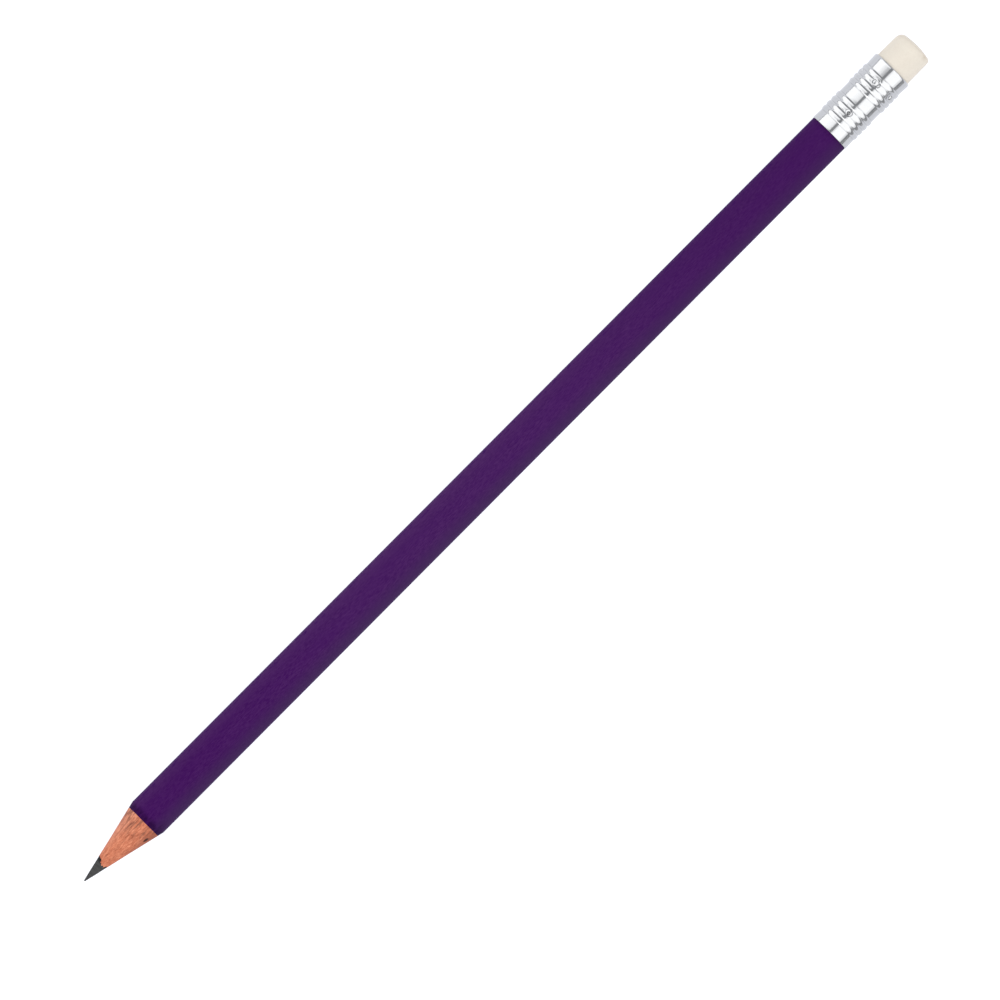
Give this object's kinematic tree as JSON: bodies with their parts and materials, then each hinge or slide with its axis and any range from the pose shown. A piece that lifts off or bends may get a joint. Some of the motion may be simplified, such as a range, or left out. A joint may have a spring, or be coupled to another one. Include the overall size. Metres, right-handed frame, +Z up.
{
  "type": "pencil",
  "caption": "Round wooden pencil, sharpened, with a matte lacquer coat, a crimped metal ferrule with rolled beads, and a plug eraser; it lies on its side.",
  "frame": {"origin": "midway along the pencil, on the surface it lies on, straight below its axis", "axes": "+X along the pencil's axis from the point to the eraser, +Z up out of the surface, +Y across"},
  "size_m": [0.19, 0.0076, 0.0075],
  "materials": {
    "graphite": "fired graphite and clay, dark grey with a dull metallic sheen and fine sharpening marks",
    "cedar": "bare reddish cedar, fine straight grain along the axis with darker streaks",
    "glue": "dried wood glue",
    "lacquer": "matte dark purple lacquer with very fine streaks along the axis",
    "ferrule_metal": "bright drawn aluminium, rolled and punched",
    "eraser_rubber": "matte off-white vinyl with fine specks and a rubbed end"
  },
  "bodies": {
    "root": {"graphite_core": "graphite", "wood_slat_upper": "cedar", "wood_slat_lower": "cedar", "glue_film": "glue", "lacquer_coat": "lacquer", "ferrule": "ferrule_metal", "eraser": "eraser_rubber"}
  },
  "joints": []
}
